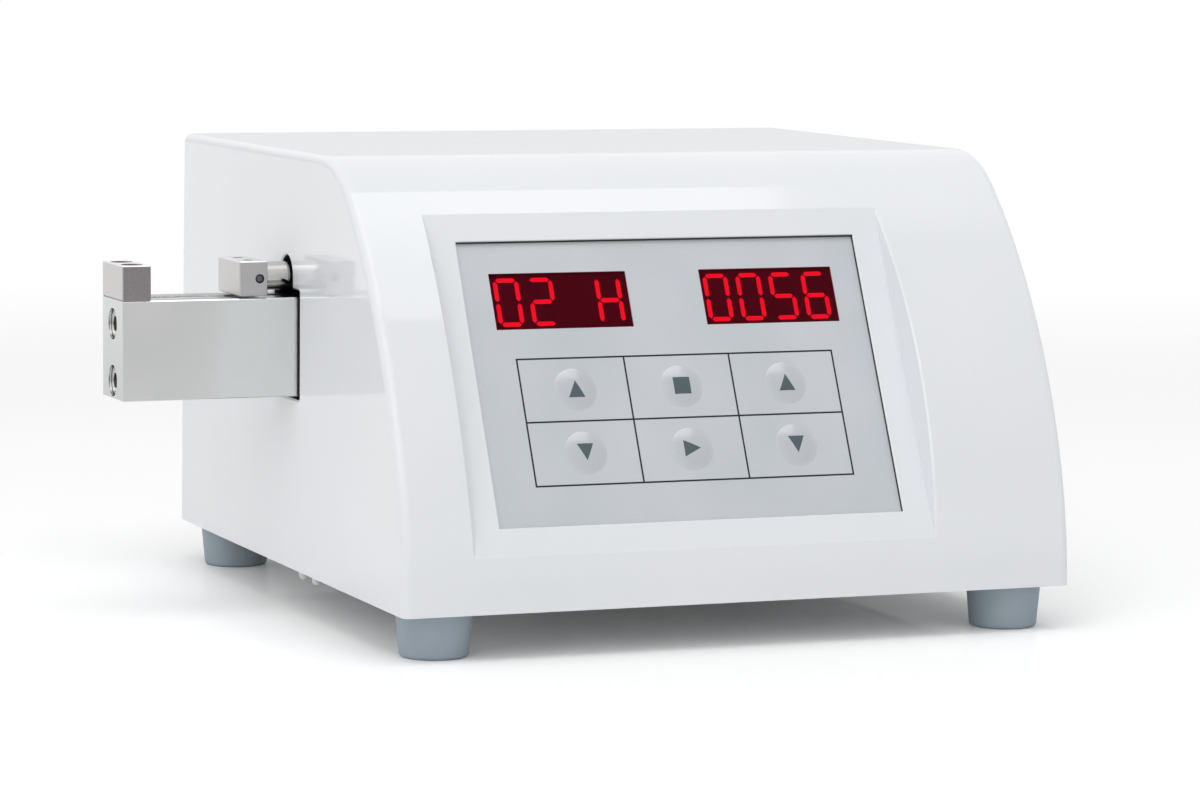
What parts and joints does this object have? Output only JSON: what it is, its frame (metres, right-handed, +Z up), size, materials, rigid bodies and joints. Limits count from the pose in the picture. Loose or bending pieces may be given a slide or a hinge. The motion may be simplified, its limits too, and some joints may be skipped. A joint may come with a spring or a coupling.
{
  "type": "tablet hardness tester",
  "caption": "Bench tester that crushes a tablet between a fixed jaw on an arm and a driven jaw, with a recessed keypad panel and two number displays.",
  "frame": {"origin": "centre of the whole object's box, on the table that its feet stand on", "axes": "+Z up, the keypad faces -Y, the measuring arm points to -X"},
  "size_m": [0.3032, 0.262, 0.1611],
  "materials": {
    "white_abs": "high gloss, moulded",
    "grey_foil": "fine satin print on polyester foil",
    "red_filter": "clear dark red acrylic",
    "black_plastic": "moulded",
    "satin_steel": "fine satin grind",
    "ground_steel": "ground and polished",
    "zinc_steel": "bright zinc",
    "anodised_aluminium": "clear anodised",
    "base_paint": "fine texture powder coat",
    "blue_grey_rubber": "moulded, matt",
    "white_nylon": "moulded",
    "circuit_board": "solder resist",
    "brass": "turned"
  },
  "bodies": {
    "housing": {"housing_cover": "white_abs", "keypad_foil": "grey_foil", "window_left": "red_filter", "window_right": "red_filter", "display_left": "black_plastic", "display_right": "black_plastic", "key_switches": "black_plastic", "mains_inlet": "black_plastic", "rocker_bezel": "black_plastic", "home_sensor": "black_plastic", "board_parts": "black_plastic", "stepper_motor": "black_plastic", "measuring_arm": "satin_steel", "fixed_jaw": "satin_steel", "guide_rail": "ground_steel", "guide_bush": "ground_steel", "screw_bearing": "ground_steel", "arm_screws": "zinc_steel", "jaw_screws": "zinc_steel", "foot_screws": "zinc_steel", "cover_screws": "zinc_steel", "leg_screws": "zinc_steel", "board_pillars": "zinc_steel", "main_board_pillars": "zinc_steel", "motor_pillars": "zinc_steel", "printer_port": "zinc_steel", "drive_frame": "anodised_aluminium", "frame_leg_left": "anodised_aluminium", "frame_leg_right": "anodised_aluminium", "rear_panel": "anodised_aluminium", "keypad_plate": "anodised_aluminium", "base_plate": "base_paint", "power_supply": "base_paint", "foot_front_left": "blue_grey_rubber", "foot_front_right": "blue_grey_rubber", "foot_rear_left": "blue_grey_rubber", "foot_rear_right": "blue_grey_rubber", "base_rivets": "white_nylon", "display_board": "circuit_board", "main_board": "circuit_board", "inlet_pins": "brass"},
    "ram": {"moving_jaw": "satin_steel", "jaw_grub_screws": "zinc_steel", "push_rod": "ground_steel", "load_cell": "anodised_aluminium", "ram_carriage": "anodised_aluminium", "rail_runner": "ground_steel", "spindle_nut": "brass"},
    "spindle": {"lead_screw": "ground_steel", "shaft_coupling": "anodised_aluminium", "motor_shaft": "ground_steel"},
    "key_upper_left": {"key_upper_left": "grey_foil"},
    "key_stop": {"key_stop": "grey_foil"},
    "key_upper_right": {"key_upper_right": "grey_foil"},
    "key_lower_left": {"key_lower_left": "grey_foil"},
    "key_start": {"key_start": "grey_foil"},
    "key_lower_right": {"key_lower_right": "grey_foil"},
    "rocker": {"power_rocker": "black_plastic"}
  },
  "joints": [
    {"name": "ram_slide", "type": "slide", "parent": "housing", "child": "ram", "axis": [-1, 0, 0], "range_m": [0, 0.031]},
    {"name": "spindle_turn", "type": "hinge", "parent": "housing", "child": "spindle", "pos_m": [0.07835, -0.0026, 0.1176], "axis": [1, 0, 0], "range_deg": [0, 2790]},
    {"name": "key_upper_left_press", "type": "slide", "parent": "housing", "child": "key_upper_left", "axis": [0, 0.8968, -0.4424], "range_m": [0, 0.0005], "stiffness_N_per_m": 800},
    {"name": "key_stop_press", "type": "slide", "parent": "housing", "child": "key_stop", "axis": [0, 0.8968, -0.4424], "range_m": [0, 0.0005], "stiffness_N_per_m": 800},
    {"name": "key_upper_right_press", "type": "slide", "parent": "housing", "child": "key_upper_right", "axis": [0, 0.8968, -0.4424], "range_m": [0, 0.0005], "stiffness_N_per_m": 800},
    {"name": "key_lower_left_press", "type": "slide", "parent": "housing", "child": "key_lower_left", "axis": [0, 0.8968, -0.4424], "range_m": [0, 0.0005], "stiffness_N_per_m": 800},
    {"name": "key_start_press", "type": "slide", "parent": "housing", "child": "key_start", "axis": [0, 0.8968, -0.4424], "range_m": [0, 0.0005], "stiffness_N_per_m": 800},
    {"name": "key_lower_right_press", "type": "slide", "parent": "housing", "child": "key_lower_right", "axis": [0, 0.8968, -0.4424], "range_m": [0, 0.0005], "stiffness_N_per_m": 800},
    {"name": "power_rocker_tilt", "type": "hinge", "parent": "housing", "child": "rocker", "pos_m": [0.09435, 0.1235, 0.0875], "axis": [-1, 0, 0], "range_deg": [0, 20]}
  ],
  "couplings": [
    {"joint": "spindle_turn", "follows": "ram_slide", "rad_per_m": 1570.8}
  ]
}
